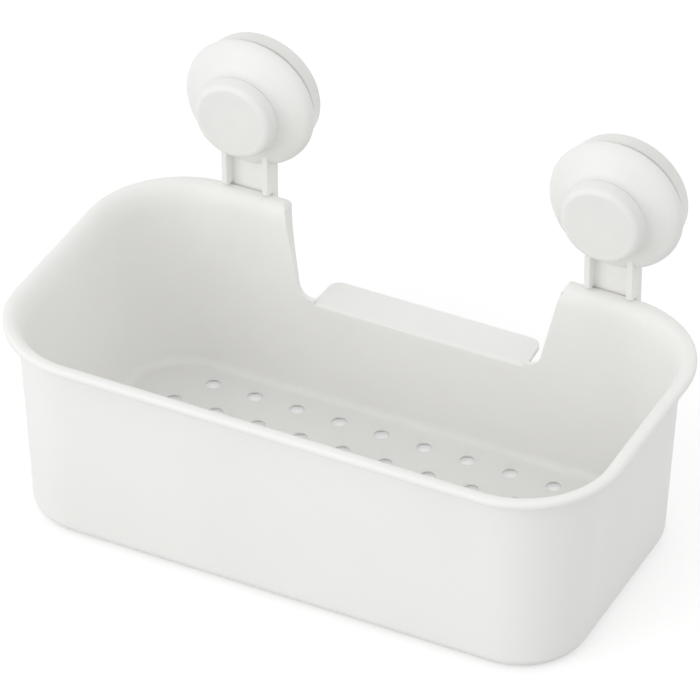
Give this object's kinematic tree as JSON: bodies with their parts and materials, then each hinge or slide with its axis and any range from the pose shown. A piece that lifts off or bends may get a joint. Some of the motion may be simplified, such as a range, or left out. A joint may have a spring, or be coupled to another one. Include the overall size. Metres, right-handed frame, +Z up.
{
  "type": "suction basket",
  "caption": "Open plastic basket with a drained floor and a low back edge, hung on a smooth wall by arms with twist-lock suction cups.",
  "frame": {"origin": "middle of the whole object seen from above, at the underside of the tub", "axes": "+Z up, +Y towards the wall that the cups hold, +X along the long side, to the right as seen from the front"},
  "size_m": [0.28, 0.166, 0.1675],
  "materials": {
    "white plastic": "satin moulded plastic",
    "soft white cup": "smooth soft plastic",
    "stud steel": "plain turned steel",
    "insert brass": "plain turned brass",
    "slip washer": "plain slippery plastic"
  },
  "bodies": {
    "basket": {"tub": "white plastic", "suction_arm_left": "white plastic", "suction_arm_right": "white plastic", "slip_washer_left": "slip washer", "slip_washer_right": "slip washer"},
    "left_knob": {"knob_left": "white plastic", "threaded_insert_left": "insert brass"},
    "left_cup": {"suction_disc_left": "soft white cup", "threaded_stud_left": "stud steel"},
    "right_knob": {"knob_right": "white plastic", "threaded_insert_right": "insert brass"},
    "right_cup": {"suction_disc_right": "soft white cup", "threaded_stud_right": "stud steel"}
  },
  "joints": [
    {"name": "left_knob_turn", "type": "hinge", "parent": "basket", "child": "left_knob", "pos_m": [-0.0854, 0.058, 0.1372], "axis": [0, 1, 0], "range_deg": [0, 720]},
    {"name": "left_cup_pull", "type": "slide", "parent": "basket", "child": "left_cup", "axis": [0, -1, 0], "range_m": [0, 0.004]},
    {"name": "right_knob_turn", "type": "hinge", "parent": "basket", "child": "right_knob", "pos_m": [0.0854, 0.058, 0.1372], "axis": [0, 1, 0], "range_deg": [0, 720]},
    {"name": "right_cup_pull", "type": "slide", "parent": "basket", "child": "right_cup", "axis": [0, -1, 0], "range_m": [0, 0.004]}
  ],
  "couplings": [
    {"joint": "left_knob_turn", "follows": "left_cup_pull", "rad_per_m": 3141.3},
    {"joint": "right_knob_turn", "follows": "right_cup_pull", "rad_per_m": 3141.3}
  ]
}
